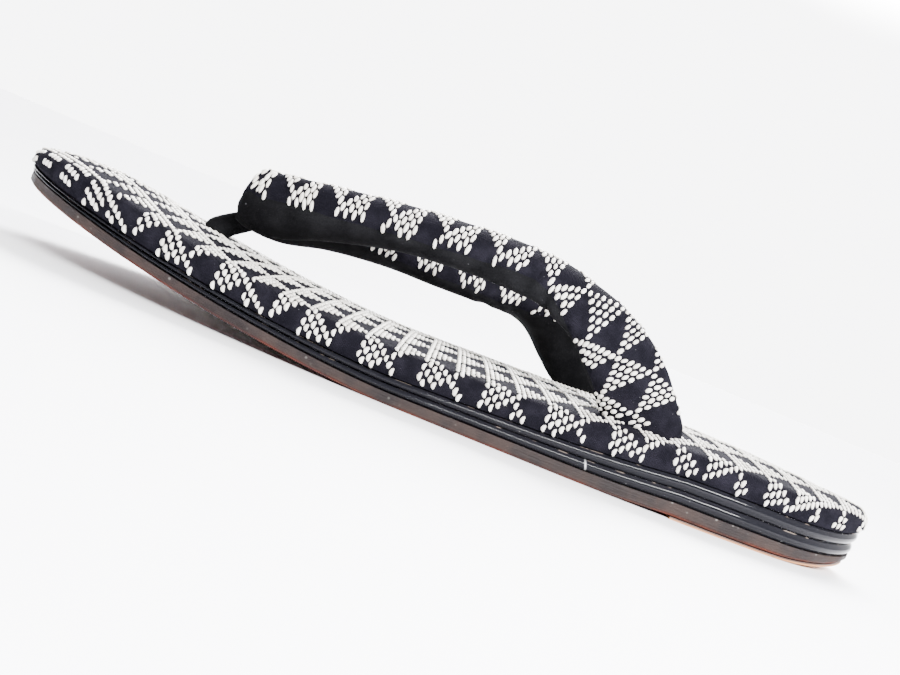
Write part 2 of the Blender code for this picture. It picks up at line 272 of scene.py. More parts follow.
# Fineness of the meshes. A stitch's rings are its outline's share and its height's share.
OUTLINE_STEPS = 150
CROWN_STEPS = 20
BAND_STEPS = 10
ROUND_STEPS = 7
ROWS_PER_KEY = 12
SECTION_POINTS = 72
STITCH_SIDES = 8
STITCH_RINGS = [(1.0, 0.0), (0.76, 0.76)]
STITCH_SINK = 0.15
STITCH_SEED = 7
SLOPE_STEP = 0.0004
NARROWEST = 1e-6
THONG_ROUNDNESS = 8
THONG_STEPS = 10
THONG_ORDER = 3

HALF_LENGTH = SOLE_LENGTH / 2
LIFT_EDGE_X = -HALF_LENGTH + LIFT_LENGTH
random = np.random.default_rng(STITCH_SEED)


# Smooth curve through one column of a table
def table_value(table, column, key):
    last = len(table) - 2
    index = 0
    while index < last and key > table[index + 1][0]:
        index += 1
    left, right = table[index], table[index + 1]
    before, after = table[max(index - 1, 0)], table[min(index + 2, len(table) - 1)]
    span = right[0] - left[0]
    part = min(max((key - left[0]) / span, 0.0), 1.0)
    slope_left = (right[column] - before[column]) / (right[0] - before[0])
    slope_right = (after[column] - left[column]) / (after[0] - left[0])
    square, cube = part * part, part * part * part
    return ((2 * cube - 3 * square + 1) * left[column] + (cube - 2 * square + part) * span * slope_left
            + (3 * square - 2 * cube) * right[column] + (cube - square) * span * slope_right)


# Plan and heights of the sole, as in the solids
def half_width(x):
    blend = 0.5 + 0.5 * np.tanh(x / WAIST_BLEND)
    widest = (HEEL_WIDTH + (BALL_WIDTH - HEEL_WIDTH) * blend) / 2
    return widest * np.sqrt(np.maximum(1 - np.abs(x / HALF_LENGTH) ** END_FULLNESS, 0.0))


def edge_points(angles):
    x = HALF_LENGTH * np.cos(angles)
    return np.stack([x, half_width(x)], axis=1)


# Points of the near edge from toe to heel, with the outward direction at each
def outline(front_x=HALF_LENGTH):
    start = math.acos(front_x / HALF_LENGTH)
    angles = np.linspace(start, math.pi, OUTLINE_STEPS + 1)
    turn = 0.5 * (math.pi - start) / OUTLINE_STEPS
    along = edge_points(angles + turn) - edge_points(angles - turn)
    outward = np.stack([along[:, 1], -along[:, 0]], axis=1)
    outward[-1] = (-1, 0)
    if front_x == HALF_LENGTH:
        outward[0] = (1, 0)
    outward /= np.linalg.norm(outward, axis=1)[:, None]
    return edge_points(angles), outward


def heel_share(x):
    return max((LIFT_EDGE_X - x) / LIFT_LENGTH, 0.0)


def lift_bottom(x):
    rest = HEEL_REST / LIFT_LENGTH
    past_rest = max(heel_share(x) - rest, 0.0) / (1 - rest)
    return HEEL_SWEEP * past_rest ** 2


def outsole_bottom(x):
    if x > SPRING_START:
        rise = (x - SPRING_START) / (HALF_LENGTH - SPRING_START)
        return TOE_SPRING * rise ** SPRING_POWER
    if x < LIFT_EDGE_X:
        return lift_bottom(x) + LIFT_FRONT + (LIFT_BACK - LIFT_FRONT) * heel_share(x) + GAP
    ramp = max(1 - (x - LIFT_EDGE_X) / WAIST_RAMP, 0.0)
    return (GAP + LIFT_FRONT) * ramp * ramp


def leather(x):
    return OUTSOLE_THICKNESS * table_value(LAYERS, LEATHER, x / HALF_LENGTH)


def band(x):
    return BAND_HEIGHT * table_value(LAYERS, BAND, x / HALF_LENGTH)


def cloth(x):
    return FOOTBED_HEIGHT * table_value(LAYERS, CLOTH, x / HALF_LENGTH)


def lower_band_bottom(x):
    return outsole_bottom(x) + leather(x) + GAP


def upper_band_bottom(x):
    return lower_band_bottom(x) + band(x) + GAP


def footbed_bottom(x):
    return upper_band_bottom(x) + band(x) + GAP


def crown_height(x, share):
    to_end = np.minimum(np.abs(x) / (HALF_LENGTH - FOOTBED_ROUND), 1.0)
    return FOOTBED_CROWN * (1 - share * share) * (1 - to_end ** CROWN_FULLNESS)


def footbed_top(x, y):
    share = min(abs(y) / max(half_width(x), GAP), 1.0)
    return footbed_bottom(x) + cloth(x) + crown_height(x, share)


# Makes an object that rides on the sandal's one body. Marks are values at each point that
# its look reads by name.
def piece(name, verts, faces, look, marks, sharp=40.0):
    mesh = bpy.data.meshes.new(name)
    mesh.from_pydata([tuple(vert) for vert in verts], [], faces)
    mesh.shade_smooth()
    mesh.set_sharp_from_angle(angle=math.radians(sharp))
    mesh.materials.append(look)
    for mark, values in marks.items():
        attribute = mesh.attributes.new(mark, "FLOAT", "POINT")
        attribute.data.foreach_set("value", np.asarray(values, np.float32))
    made = bpy.data.objects.new(name, mesh)
    bpy.context.scene.collection.objects.link(made)
    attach(made, "root")
    return made


# A layer of the sole, lofted through rings. Each ring is an inset and a height at x.
def layer(name, rings, look, front_x=HALF_LENGTH, crowned=False):
    base, outward = outline(front_x)
    verts, heights, faces, loops = [], [], [], []
    last = len(base) - 1
    for number, (inset, height) in enumerate(rings):
        plan = base - inset * outward
        if front_x < HALF_LENGTH:
            plan[0, 0] = base[0, 0]
        near, far = [], []
        for index in range(len(base)):
            x, y, z = plan[index, 0], max(plan[index, 1], 0.0), height(base[index, 0])
            near.append(len(verts))
            verts.append((x, y, z))
            tip = index == last or (index == 0 and front_x == HALF_LENGTH)
            far.append(near[-1] if tip else len(verts))
            if not tip:
                verts.append((x, -y, z))
        heights += [number / (len(rings) - 1)] * (len(verts) - len(heights))
        loops.append((near, far))
    for (near_low, far_low), (near_high, far_high) in zip(loops, loops[1:]):
        for index in range(last):
            faces.append((near_low[index + 1], near_low[index], near_high[index], near_high[index + 1]))
            faces.append((far_low[index], far_low[index + 1], far_high[index + 1], far_high[index]))
        if front_x < HALF_LENGTH:
            faces.append((near_low[0], far_low[0], far_high[0], near_high[0]))
    add_cap(verts, heights, faces, loops[0], False, 0.0, -1)
    add_cap(verts, heights, faces, loops[-1], crowned, 1.0, 1)
    faces = [tuple(dict.fromkeys(face)) for face in faces]
    return piece(name, verts, faces, look, {"height": heights})


# A cap runs across from the near edge to the far edge, and may be crowned
def add_cap(verts, heights, faces, edges, crowned, height, up):
    near, far = edges
    steps = CROWN_STEPS if crowned else 1
    before = None
    for near_vert, far_vert in zip(near, far):
        row = [near_vert]
        if near_vert != far_vert:
            x, y, z = verts[near_vert]
            for step in range(1, steps):
                share = 1 - 2 * step / steps
                row.append(len(verts))
                verts.append((x, y * share, z + crown_height(x, share)))
                heights.append(height)
            row.append(far_vert)
        if before:
            for step in range(max(len(before), len(row)) - 1):
                a, b = before[min(step, len(before) - 1)], before[min(step + 1, len(before) - 1)]
                c, d = row[min(step + 1, len(row) - 1)], row[min(step, len(row) - 1)]
                faces.append((a, b, c, d) if up < 0 else (a, d, c, b))
        before = row


# The side of a band is rounded, and stands out furthest at half its height
def band_rings(inset, bottom):
    rings = []
    for step in range(BAND_STEPS + 1):
        share = step / BAND_STEPS
        drawn_in = (2 * share - 1) ** 2
        rings.append((inset + BAND_ROUND * drawn_in, lambda x, share=share: bottom(x) + band(x) * share))
    return rings


# The side of the footbed is tucked in at its foot and rounded over at its top
def footbed_rings():
    def side(x):
        return cloth(x) - FOOTBED_ROUND

    rings = [
        (FOOTBED_TUCK, footbed_bottom),
        (0.0, lambda x: footbed_bottom(x) + side(x) * TUCK_SHARE),
    ]
    for step in range(ROUND_STEPS + 1):
        turn = math.pi / 2 * step / ROUND_STEPS
        inset = FOOTBED_ROUND * (1 - math.cos(turn))
        rise = FOOTBED_ROUND * math.sin(turn)
        rings.append((inset, lambda x, rise=rise: footbed_bottom(x) + side(x) + rise))
    return rings


# The cloth is laid flat over the footbed and wrapped over its rounded edge. A flat point
# past the top's edge goes round the edge and down the side by the same distance.
class FootbedCloth:
    def __init__(self):
        base, outward = outline()
        self.edge = base - FOOTBED_ROUND * outward
        self.outward = outward
        self.base_x = base[:, 0]
        self.top_z = np.array([footbed_bottom(x) + cloth(x) for x in self.base_x])

    # Places flat points, with how far each is past the top's edge and above the side's foot
    def place(self, flat):
        x, side = flat[:, 0], np.where(flat[:, 1] < 0, -1.0, 1.0)
        y = np.abs(flat[:, 1])
        order = np.argsort(self.edge[:, 0])
        edge_y = np.interp(x, self.edge[order, 0], self.edge[order, 1], left=0.0, right=0.0)
        top = np.interp(x, self.edge[order, 0], self.top_z[order])
        inside = (y <= edge_y) & (np.abs(x) < self.edge[:, 0].max())
        share = np.where(inside, y / np.maximum(edge_y, NARROWEST), 1.0)
        result = np.stack([x, y, top + crown_height(np.clip(x, -HALF_LENGTH, HALF_LENGTH), share)], axis=1)
        away = np.stack([x, y], axis=1)[:, None, :] - self.edge[None, :, :]
        nearest = np.argmin((away ** 2).sum(axis=2), axis=1)
        past = away[np.arange(len(x)), nearest]
        outward = self.outward[nearest]
        distance = (past * outward).sum(axis=1)
        slide = past - distance[:, None] * outward
        turn = np.clip(distance / FOOTBED_ROUND, 0, math.pi / 2)
        down = np.maximum(distance - FOOTBED_ROUND * math.pi / 2, 0.0)
        plan = self.edge[nearest] + slide + (FOOTBED_ROUND * np.sin(turn))[:, None] * outward
        drop = FOOTBED_ROUND * (1 - np.cos(turn)) + down
        wrapped = np.column_stack([plan, self.top_z[nearest] - drop])
        result[~inside] = wrapped[~inside]
        result[:, 1] *= side
        depth = np.where(inside, -1.0, distance)
        room = self.top_z[nearest] - np.array([footbed_bottom(value) for value in self.base_x[nearest]])
        left = np.where(inside, 1.0, room - drop)
        return result, depth, left


# A value of a strap's table at a row, which may lie between two rows
def strap_value(table, column, key):
    return table_value([(index, row[column]) for index, row in enumerate(table)], 1, key)


def strap_middle(table, side, key):
    along, out, up = (strap_value(table, column, key) for column in (ALONG, OUT, UP))
    base = footbed_top(STRAP_BASE_X, STRAP_SPREAD) - STRAP_SINK
    x = STRAP_BASE_X + along * (FOLD_X - STRAP_BASE_X)
    return Vector((x, side * out * STRAP_SPREAD, base + up * STRAP_RISE + min(key, 0) * POCKET_DEPTH))


# The points around a strap at one row, square to its line and rolled about it
def strap_section(table, side, key):
    last = len(table) - 1
    ahead = strap_middle(table, side, min(key + TANGENT_REACH, last))
    behind = strap_middle(table, side, key - TANGENT_REACH)
    middle = strap_middle(table, side, key)
    tangent = (ahead - behind).normalized()
    upright = (Vector((0, 0, 1)) - tangent * tangent.z).normalized()
    outward = upright.cross(tangent) * -side
    if outward.y * side < 0:
        outward.negate()
    roll = math.radians(strap_value(table, ROLL, key))
    face = upright * math.cos(roll) + outward * math.sin(roll)
    across = outward * math.cos(roll) - upright * math.sin(roll)
    half_across = STRAP_WIDTH / 2 * strap_value(table, WIDTH, key)
    half_face = STRAP_THICKNESS / 2 * strap_value(table, THICKNESS, key)
    turns = 2 * np.pi * np.arange(SECTION_POINTS) / SECTION_POINTS
    depth = np.sin(turns) * half_face
    depth = np.where(depth < 0, depth * STRAP_UNDERSIDE, depth)
    points = (np.array(middle) + np.cos(turns)[:, None] * half_across * np.array(across)
              + depth[:, None] * np.array(face))
    points[:, 1] = side * np.maximum(points[:, 1] * side, GAP / 2)
    return points


# A column of a table at many places
def column_at(table, column, places):
    rows = np.array(table)
    return np.interp(places, rows[:, 0], rows[:, column])


# The surface of a strap as a grid of rows and turns, with lengths along and around it. It
# starts from the middle of the strap's back, and is wrinkled once the lengths are known.
class StrapCloth:
    def __init__(self, table, side, folds, seam):
        keys = np.arange(-ROWS_PER_KEY, (len(table) - 1) * ROWS_PER_KEY + 1) / ROWS_PER_KEY
        sections = np.array([strap_section(table, side, key) for key in keys])
        centre = SECTION_POINTS // 4
        steps = np.linalg.norm(np.diff(sections[:, centre], axis=0), axis=1)
        along = np.concatenate([[0.0], np.cumsum(steps)])
        self.along = along - np.interp(0.0, keys, along)
        order = (np.arange(SECTION_POINTS + 1) + centre - SECTION_POINTS // 2) % SECTION_POINTS
        unrolled = sections[:, order]
        gaps = np.linalg.norm(np.diff(unrolled, axis=1), axis=2)
        around = np.concatenate([np.zeros((len(keys), 1)), np.cumsum(gaps, axis=1)], axis=1)
        self.around = around - around[:, SECTION_POINTS // 2][:, None]
        self.seam = seam
        self.middles = sections.mean(axis=1)
        outward = unrolled - self.middles[:, None]
        outward /= np.linalg.norm(outward, axis=2)[:, :, None]
        length = np.broadcast_to(self.along[:, None], self.around.shape)
        self.past_seam = self.beyond_seam(length, self.around)
        push = -SEAM_GROOVE * np.exp(-(self.past_seam / SEAM_SPREAD) ** 2)
        for place, turn, spread, reach, depth, slant in folds:
            off = (length - place - slant * (self.around - turn)) / spread
            fade = np.exp(-((self.around - turn) / reach) ** 2)
            push = push - depth * (1 - off ** 2) * np.exp(-off ** 2 / 2) * fade
        self.unrolled = unrolled + outward * push[:, :, None]
        self.grid = self.unrolled[:, :-1]

    # How far a place lies on the velvet's side of the nearer seam
    def beyond_seam(self, length, turn):
        outer = column_at(self.seam, OUTER, length)
        inner = column_at(self.seam, INNER, length)
        return np.maximum(outer - turn, turn - inner)

    # Places flat points, given by their lengths along and around the strap
    def place(self, flat):
        row = np.interp(flat[:, 0], self.along, np.arange(len(self.along)))
        low = np.clip(row.astype(int), 0, len(self.along) - 2)
        part = row - low
        result = np.zeros((len(flat), 3))
        for index in range(len(flat)):
            for line, weight in ((low[index], 1 - part[index]), (low[index] + 1, part[index])):
                for axis in range(3):
                    value = np.interp(flat[index, 1], self.around[line], self.unrolled[line, :, axis])
                    result[index, axis] += weight * value
        return result


# The chart of the weave: a white stitch shows where the two counts add up to less than a repeat
def chart(rows, columns):
    places = []
    for row in rows:
        for column in columns:
            if (row + column) % 2 == 0:
                first, second = (row + column) // 2, (row - column) // 2
                if first % REPEAT + second % REPEAT < REPEAT:
                    places.append((row, column))
    return np.array(places, dtype=float)


# One stitch: a plump grain, closed below, longest across the warp
def grain():
    verts, faces = [], []
    for size, rise in STITCH_RINGS:
        for step in range(STITCH_SIDES):
            turn = 2 * math.pi * step / STITCH_SIDES
            verts.append((size * math.cos(turn) / 2, size * math.sin(turn) / 2, rise))
    verts.append((0.0, 0.0, 1.0))
    top = len(verts) - 1
    for ring in range(len(STITCH_RINGS)):
        for step in range(STITCH_SIDES):
            low, next_low = ring * STITCH_SIDES + step, ring * STITCH_SIDES + (step + 1) % STITCH_SIDES
            if ring < len(STITCH_RINGS) - 1:
                faces.append((low, next_low, next_low + STITCH_SIDES, low + STITCH_SIDES))
            else:
                faces.append((low, next_low, top))
    faces.append(tuple(reversed(range(STITCH_SIDES))))
    return np.array(verts), faces


# Stitches along the across direction, each a little uneven. A bend above 0 bows them
# towards the direction ahead.
def stitches(name, points, across, normals, lengths, bend_way):
    shape, shape_faces = grain()
    across = across / np.linalg.norm(across, axis=1)[:, None]
    normals = normals / np.linalg.norm(normals, axis=1)[:, None]
    along = np.cross(normals, across)
    bend = bend_way * STITCH_WIDTH * STITCH_BEND * (1 - (2 * shape[:, 0]) ** 2)
    verts, faces, tints = [], [], []
    for point, wide, ahead, up, length in zip(points, across, along, normals, lengths):
        size = 1 + STITCH_UNEVEN * random.standard_normal(3)
        tilt = STITCH_TILT * random.standard_normal()
        turned = wide * math.cos(tilt) + ahead * math.sin(tilt)
        crossed = ahead * math.cos(tilt) - wide * math.sin(tilt)
        start = len(verts)
        placed = (point + np.outer(shape[:, 0] * length * size[0], turned)
                  + np.outer(shape[:, 1] * STITCH_WIDTH * size[1] + bend, crossed)
                  + np.outer((shape[:, 2] - STITCH_SINK) * STITCH_HEIGHT * size[2], up))
        verts += list(placed)
        faces += [tuple(start + corner for corner in face) for face in shape_faces]
        tints += [random.random()] * len(shape)
    marks = {"height": np.tile(shape[:, 2], len(points)), "tint": tints}
    return piece(name, verts, faces, thread_look, marks, sharp=180.0)


# Points on a cloth, with the directions across it and square to it
def surface_frames(place, flat):
    points = place(flat)
    ahead = place(flat + (SLOPE_STEP, 0.0)) - place(flat - (SLOPE_STEP, 0.0))
    across = place(flat + (0.0, SLOPE_STEP)) - place(flat - (0.0, SLOPE_STEP))
    return points, across, np.cross(ahead, across)


# Adds a shader node. Inputs are plain values, or the outputs of other nodes.
def add(tree, kind, inputs=None, **settings):
    made = tree.nodes.new("ShaderNode" + kind)
    for name, value in settings.items():
        setattr(made, name, value)
    for name, value in (inputs or {}).items():
        if isinstance(value, bpy.types.NodeSocket):
            tree.links.new(value, made.inputs[name])
        else:
            made.inputs[name].default_value = value
    return made


# Starts a node group that takes numbers and gives one number
def new_group(name, inputs, output):
    tree = bpy.data.node_groups.new(name, "ShaderNodeTree")
    for label, value in inputs.items():
        socket = tree.interface.new_socket(label, in_out="INPUT", socket_type="NodeSocketFloat")
        socket.default_value = value
    tree.interface.new_socket(output, in_out="OUTPUT", socket_type="NodeSocketFloat")
    return tree, tree.nodes.new("NodeGroupInput").outputs, tree.nodes.new("NodeGroupOutput").inputs


# Small round specks: their spacing, their size and the share of places that hold one
def specks_group():
    tree, given, result = new_group("specks", {"Scale": 800.0, "Size": 0.2, "Share": 0.1}, "Mask")
    spot = add(tree, "TexCoord").outputs["Object"]
    cells = add(tree, "TexVoronoi", {"Vector": spot, "Scale": given["Scale"]})
    ranged = {"Value": cells.outputs["Distance"], "From Min": given["Size"], "From Max": 0.0}
    near = add(tree, "MapRange", ranged)
    pick = add(tree, "SeparateColor", {"Color": cells.outputs["Color"]})
    held = add(tree, "Math", {0: pick.outputs["Red"], 1: given["Share"]}, operation="LESS_THAN")
    mask = add(tree, "Math", {0: near.outputs["Result"], 1: held.outputs["Value"]}, operation="MULTIPLY")
    tree.links.new(mask.outputs["Value"], result["Mask"])
    return tree


# Soft uneven patches: their scale, and the noise values where they start and are full
def patches_group():
    tree, given, result = new_group("patches", {"Scale": 60.0, "Low": 0.45, "High": 0.6}, "Mask")
    spot = add(tree, "TexCoord").outputs["Object"]
    noise = add(tree, "TexNoise", {"Vector": spot, "Scale": given["Scale"], "Detail": 6.0})
    ranged = {"Value": noise.outputs["Fac"], "From Min": given["Low"], "From Max": given["High"]}
    mask = add(tree, "MapRange", ranged, interpolation_type="SMOOTHSTEP")
    tree.links.new(mask.outputs["Result"], result["Mask"])
    return tree


# Fine fibres or layers: noise that is squeezed along X or Z
def fibres_group():
    sockets = {"Scale": 900.0, "Squeeze X": 1.0, "Squeeze Z": 1.0}
    tree, given, result = new_group("fibres", sockets, "Height")
    spot = add(tree, "TexCoord").outputs["Object"]
    squeeze = add(tree, "CombineXYZ", {"X": given["Squeeze X"], "Y": 1.0, "Z": given["Squeeze Z"]})
    moved = add(tree, "VectorMath", {0: spot, 1: squeeze.outputs["Vector"]}, operation="MULTIPLY")
    noise = add(tree, "TexNoise", {"Vector": moved.outputs["Vector"], "Scale": given["Scale"], "Detail": 4.0})
    tree.links.new(noise.outputs["Fac"], result["Height"])
    return tree


# The plain weave of a cloth's ground, as the crossing of fine ribs
def crossing_group():
    tree, given, result = new_group("crossing", {"Scale": 9000.0}, "Height")
    spot = add(tree, "TexCoord").outputs["Object"]
    ribs = []
    for turned in ((1.0, 0.6, 0.6), (-0.6, 1.0, 0.6)):
        line = add(tree, "VectorMath", {0: spot, 1: turned}, operation="DOT_PRODUCT")
        count = add(tree, "Math", {0: line.outputs["Value"], 1: given["Scale"]}, operation="MULTIPLY")
        ribs.append(add(tree, "Math", {0: count.outputs["Value"]}, operation="SINE").outputs["Value"])
    crossed = add(tree, "Math", {0: ribs[0], 1: ribs[1]}, operation="MULTIPLY")
    tree.links.new(crossed.outputs["Value"], result["Height"])
    return tree


# A thin mark at one place of a side: where it is along X, how long and how high it is
def mark_group():
    sockets = {"At X": 0.0, "Width": 0.0004, "At Z": 0.005, "Reach": 0.001, "Slant": 0.0}
    tree, given, result = new_group("mark", sockets, "Mask")
    spot = add(tree, "SeparateXYZ", {"Vector": add(tree, "TexCoord").outputs["Object"]})
    high = add(tree, "Math", {0: spot.outputs["Z"], 1: given["At Z"]}, operation="SUBTRACT")
    lean = add(tree, "Math", {0: high.outputs["Value"], 1: given["Slant"]}, operation="MULTIPLY")
    off = add(tree, "Math", {0: spot.outputs["X"], 1: given["At X"]}, operation="SUBTRACT")
    across = add(tree, "Math", {0: off.outputs["Value"], 1: lean.outputs["Value"]}, operation="SUBTRACT")
    masks = []
    for value, limit in ((across, "Width"), (high, "Reach")):
        size = add(tree, "Math", {0: value.outputs["Value"]}, operation="ABSOLUTE")
        ranged = {"Value": size.outputs["Value"], "From Min": given[limit], "From Max": 0.0}
        masks.append(add(tree, "MapRange", ranged, interpolation_type="SMOOTHSTEP").outputs["Result"])
    mask = add(tree, "Math", {0: masks[0], 1: masks[1]}, operation="MULTIPLY")
    tree.links.new(mask.outputs["Value"], result["Mask"])
    return tree


SPECKS, PATCHES, FIBRES, CROSSING, MARK = (
    specks_group(), patches_group(), fibres_group(), crossing_group(), mark_group())

# Sockets of the colour mixing node, by number because its names repeat
MIX_SHARE, MIX_UNDER, MIX_OVER = 0, 6, 7
MIX_RESULT = 2


# Sets sockets of a shader or a group, named with _ for each space
def set_sockets(node, values):
    for socket, value in values.items():
        node.inputs[socket.replace("_", " ")].default_value = value


# A material with one main shader, and short ways to use the shared groups on it
class Look:
    def __init__(self, name, roughness, **constants):
        self.made = bpy.data.materials.new(name)
        self.made.use_nodes = True
        self.tree = self.made.node_tree
        self.shader = self.tree.nodes["Principled BSDF"]
        set_sockets(self.shader, {"Roughness": roughness, **constants})

    def shared(self, group, **values):
        node = add(self.tree, "Group", node_tree=group)
        set_sockets(node, values)
        return node.outputs[0]

    # A value marked on the mesh, from 0 at its low end to 1 at its high end
    def mark(self, name, low, high):
        value = add(self.tree, "Attribute", attribute_name=name).outputs["Fac"]
        return self.ranged(value, low, high, 0.0, 1.0)

    def ranged(self, value, low, high, out_low, out_high):
        inputs = {"Value": value, "From Min": low, "From Max": high, "To Min": out_low, "To Max": out_high}
        return add(self.tree, "MapRange", inputs, interpolation_type="SMOOTHSTEP").outputs["Result"]

    def reversed(self, value):
        return self.ranged(value, 0.0, 1.0, 1.0, 0.0)

    def both(self, first, second):
        return add(self.tree, "Math", {0: first, 1: second}, operation="MULTIPLY").outputs["Value"]

    # A base colour with others laid over it, each where its mask is
    def colours(self, base, layers):
        colour = (*base, 1.0)
        for mask, top in layers:
            inputs = {MIX_SHARE: mask, MIX_UNDER: colour, MIX_OVER: (*top, 1.0)}
            colour = add(self.tree, "Mix", inputs, data_type="RGBA").outputs[MIX_RESULT]
        return colour

    def bump(self, height, distance, strength=1.0, under=None):
        inputs = {"Height": height, "Distance": distance, "Strength": strength}
        if under is not None:
            inputs["Normal"] = under
        return add(self.tree, "Bump", inputs).outputs["Normal"]

    def finish(self, colour=None, roughness=None, normal=None, shader=None):
        for socket, value in (("Base Color", colour), ("Roughness", roughness), ("Normal", normal)):
            if value is not None:
                self.tree.links.new(value, (shader or self.shader).inputs[socket])
        return self.made


# Colours, dark before light, and the constants of the two cloths
WEAVE_DARK = (0.0040, 0.0038, 0.0055)
WEAVE_LIGHT = (0.0080, 0.0074, 0.0105)
VELVET_DARK = (0.0030, 0.0030, 0.0034)
VELVET_LIGHT = (0.0070, 0.0070, 0.0078)
LINT_COLOUR = (0.08, 0.08, 0.085)
# Painted shade for the foot of each stitch, where it meets the cloth
THREAD_FOOT_SHADE = (0.08, 0.07, 0.07)
THREAD_DULL = (0.66, 0.62, 0.56)
THREAD_IVORY = (0.84, 0.81, 0.75)
LACQUER_BLACK = (0.007, 0.007, 0.009)
LACQUER_DUST = (0.10, 0.10, 0.10)
LACQUER_WORN = (0.16, 0.13, 0.11)
LACQUER_SCRATCH = (0.55, 0.55, 0.55)
STAIN_DARK = (0.016, 0.013, 0.013)
STAIN_LIGHT = (0.030, 0.022, 0.020)
STAIN_REDDISH = (0.085, 0.026, 0.018)
STAIN_DUST = (0.16, 0.15, 0.14)
TAN_DARK = (0.045, 0.022, 0.016)
TAN_GRAIN = (0.10, 0.045, 0.025)
TAN_LIGHT = (0.36, 0.15, 0.055)
WEAVE_ROUGHNESS = 0.85
WEAVE_SHEEN = {"Sheen_Weight": 0.006, "Sheen_Roughness": 0.6, "Sheen_Tint": (0.60, 0.55, 0.90, 1.0),
               "Specular_IOR_Level": 0.01}
VELVET_ROUGHNESS = 0.9
VELVET_SHEEN = {"Sheen_Weight": 0.012, "Sheen_Roughness": 0.5, "Sheen_Tint": (0.60, 0.62, 0.70, 1.0),
                "Specular_IOR_Level": 0.02}
SEAM_BLEND = 0.0001


# Matte bluish black cloth with lint, and a fine plain weave
def dress_weave(look, shader):
    worn = look.shared(PATCHES, Scale=240.0, Low=0.35, High=0.75)
    lint = look.shared(SPECKS, Scale=900.0, Size=0.16, Share=0.05)
    colour = look.colours(WEAVE_DARK, [(worn, WEAVE_LIGHT), (lint, LINT_COLOUR)])
    coarse = look.bump(look.shared(FIBRES, Scale=1400.0), distance=0.00012)
    ribs = look.shared(CROSSING, Scale=9500.0)
    relief = look.bump(ribs, distance=0.00006, strength=0.8, under=coarse)
    look.finish(colour, normal=relief, shader=shader)


# Short black pile with a faint sheen and lint
def dress_velvet(look, shader):
    brushed = look.shared(PATCHES, Scale=120.0, Low=0.35, High=0.7)
    lint = look.shared(SPECKS, Scale=520.0, Size=0.15, Share=0.06)
    colour = look.colours(VELVET_DARK, [(brushed, VELVET_LIGHT), (lint, LINT_COLOUR)])
    lying = look.shared(PATCHES, Scale=160.0, Low=0.3, High=0.7)
    folds = look.bump(lying, distance=0.00030, strength=0.6)
    hairs = look.shared(FIBRES, Scale=3200.0)
    relief = look.bump(hairs, distance=0.00015, strength=0.9, under=folds)
    look.finish(colour, normal=relief, shader=shader)


weave = Look("woven_ground", WEAVE_ROUGHNESS, **WEAVE_SHEEN)
dress_weave(weave, weave.shader)
weave_look = weave.made

velvet = Look("black_velvet_pile", VELVET_ROUGHNESS, **VELVET_SHEEN)
dress_velvet(velvet, velvet.shader)
velvet_look = velvet.made

# The straps' cover: woven cloth on the face, velvet beyond the seam
cover = Look("strap_cover", WEAVE_ROUGHNESS, **WEAVE_SHEEN)
dress_weave(cover, cover.shader)
pile = add(cover.tree, "BsdfPrincipled")
set_sockets(pile, {"Roughness": VELVET_ROUGHNESS, **VELVET_SHEEN})
dress_velvet(cover, pile)
beyond = cover.mark("past_seam", -SEAM_BLEND, SEAM_BLEND)
joined = add(cover.tree, "MixShader", {0: beyond, 1: cover.shader.outputs[0], 2: pile.outputs[0]})
cover.tree.links.new(joined.outputs[0], cover.tree.nodes["Material Output"].inputs["Surface"])
cover_look = cover.made

# Ivory thread with fine twisted fibres, and painted shade that darkens each stitch's foot
thread = Look("ivory_thread", 0.55, Sheen_Weight=0.15)
tinted = thread.mark("tint", 0.0, 1.0)
soiled = thread.shared(PATCHES, Scale=90.0, Low=0.5, High=0.8)
thread_colour = thread.colours(THREAD_IVORY, [
    (thread.both(tinted, tinted), THREAD_DULL),
    (soiled, THREAD_DULL),
    # Painted shade: each stitch is darkened towards its foot
    (thread.reversed(thread.mark("height", 0.0, 0.55)), THREAD_FOOT_SHADE),
])
twisted = thread.bump(thread.shared(FIBRES, Scale=2600.0), distance=0.00012, strength=0.8)
thread_look = thread.finish(thread_colour, normal=twisted)

# Glossy black lacquer: dust, a few dull places, a scratch, and worn dashes along the groove
lacquer = Look("gloss_black_lacquer", 0.12, Coat_Weight=0.06, Coat_Roughness=0.04, Specular_IOR_Level=0.07)
dusty = lacquer.shared(SPECKS, Scale=700.0, Size=0.20, Share=0.04)
scratch = lacquer.shared(MARK, At_X=-0.0400, Width=0.0004, At_Z=0.0048, Reach=0.0019, Slant=0.40)
worn_edge = lacquer.both(lacquer.shared(PATCHES, Scale=170.0, Low=0.56, High=0.62),
                         lacquer.mark("height", 0.90, 1.0))
dull = lacquer.shared(PATCHES, Scale=45.0, Low=0.45, High=0.7)
lacquer_colour = lacquer.colours(LACQUER_BLACK, [
    (dusty, LACQUER_DUST),
    (worn_edge, LACQUER_WORN),
    (scratch, LACQUER_SCRATCH),
])
waved = lacquer.bump(lacquer.shared(FIBRES, Scale=110.0), distance=0.00010, strength=0.5)
lacquer_look = lacquer.finish(lacquer_colour, lacquer.ranged(dull, 0.0, 1.0, 0.09, 0.22), waved)

